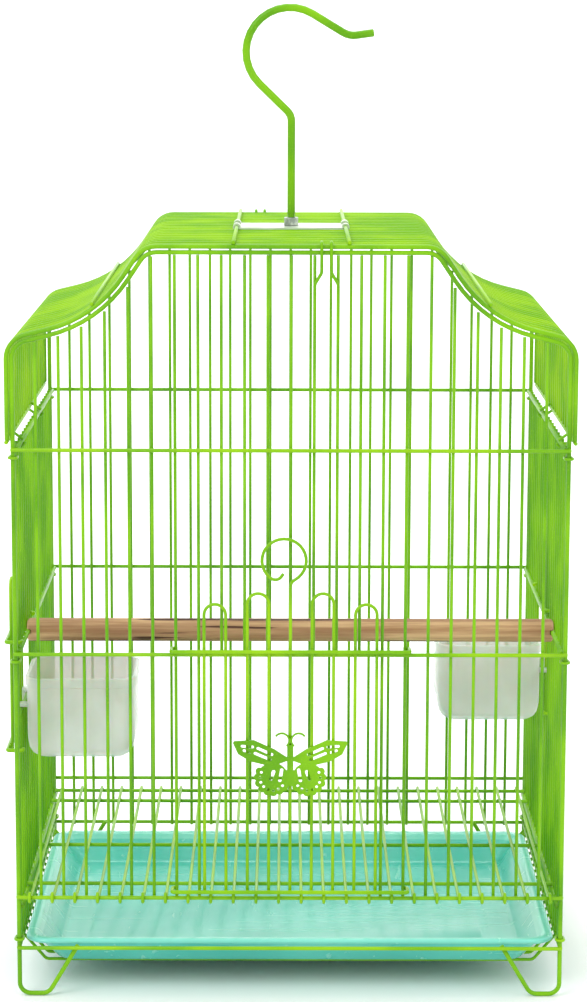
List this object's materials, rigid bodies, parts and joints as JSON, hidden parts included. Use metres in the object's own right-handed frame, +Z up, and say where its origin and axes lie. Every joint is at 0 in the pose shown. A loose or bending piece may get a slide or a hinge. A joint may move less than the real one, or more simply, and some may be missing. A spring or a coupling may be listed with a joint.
{
  "type": "bird cage",
  "caption": "Hanging wire bird cage with a shaped roof, lift-up doors, hanging feeder cups, a wooden perch, a hooked floor grille, a slide-out tray and a swivelling hook.",
  "frame": {"origin": "centre of the base outline on the surface the feet stand on", "axes": "+X to the right of the front door, the front door faces -Y, +Z up along the hook's rod"},
  "size_m": [0.3144, 0.2603, 0.5446],
  "materials": {
    "green_coating": "glossy yellow-green coating over steel wire",
    "bright_green_coating": "glossy lighter green coating over steel wire",
    "hook_coating": "glossy green coating over a steel rod",
    "cup_plastic": "milky translucent moulded plastic",
    "perch_wood": "plain turned dowel with open grain",
    "tray_plastic": "glossy teal moulded plastic",
    "plate_metal": "pale plated sheet with a green cast",
    "nut_zinc": "dull zinc plating"
  },
  "bodies": {
    "cage": {"front_frame": "green_coating", "front_rails": "bright_green_coating", "front_bars": "green_coating", "back_frame": "green_coating", "back_rails": "green_coating", "back_bars": "green_coating", "left_side_rails": "green_coating", "left_side_bars": "green_coating", "right_side_rails": "green_coating", "right_side_bars": "green_coating", "base_wires": "green_coating", "roof_frame": "green_coating", "roof_bars": "bright_green_coating", "roof_cross_wires": "bright_green_coating", "roof_clips": "green_coating", "side_clips": "green_coating", "corner_clips": "bright_green_coating", "perch": "perch_wood", "hook_plate": "plate_metal"},
    "tray": {"tray": "tray_plastic"},
    "floor_grille": {"floor_grille_wires": "bright_green_coating", "floor_grille_cross_wires": "bright_green_coating"},
    "front_door": {"front_door_rails": "bright_green_coating", "front_door_bars": "bright_green_coating", "front_door_handle": "bright_green_coating", "front_door_ornament": "green_coating"},
    "left_feeder_door": {"left_feeder_door_rails": "bright_green_coating", "left_feeder_door_bars": "bright_green_coating"},
    "right_feeder_door": {"right_feeder_door_rails": "bright_green_coating", "right_feeder_door_bars": "bright_green_coating"},
    "left_cup": {"left_cup": "cup_plastic"},
    "right_cup": {"right_cup": "cup_plastic"},
    "hook": {"hook": "hook_coating", "upper_nut": "nut_zinc", "lower_nut": "nut_zinc"}
  },
  "joints": [
    {"name": "tray_lift", "type": "slide", "parent": "cage", "child": "tray", "axis": [0, 0, 1], "range_m": [0, 0.016]},
    {"name": "floor_grille_tilt", "type": "hinge", "parent": "cage", "child": "floor_grille", "pos_m": [0, -0.12695, 0.057], "axis": [1, 0, 0], "range_deg": [0, 20]},
    {"name": "front_door_slide", "type": "slide", "parent": "cage", "child": "front_door", "axis": [0, 0, 1], "range_m": [0, 0.105]},
    {"name": "left_feeder_door_slide", "type": "slide", "parent": "cage", "child": "left_feeder_door", "axis": [0, 0, 1], "range_m": [0, 0.053]},
    {"name": "right_feeder_door_slide", "type": "slide", "parent": "cage", "child": "right_feeder_door", "axis": [0, 0, 1], "range_m": [0, 0.053]},
    {"name": "left_cup_lift", "type": "slide", "parent": "cage", "child": "left_cup", "axis": [0, 0, 1], "range_m": [0, 0.011]},
    {"name": "right_cup_lift", "type": "slide", "parent": "cage", "child": "right_cup", "axis": [0, 0, 1], "range_m": [0, 0.016]},
    {"name": "hook_swivel", "type": "hinge", "parent": "cage", "child": "hook", "pos_m": [0, 0, 0.45], "axis": [0, 0, 1], "continuous": true}
  ]
}
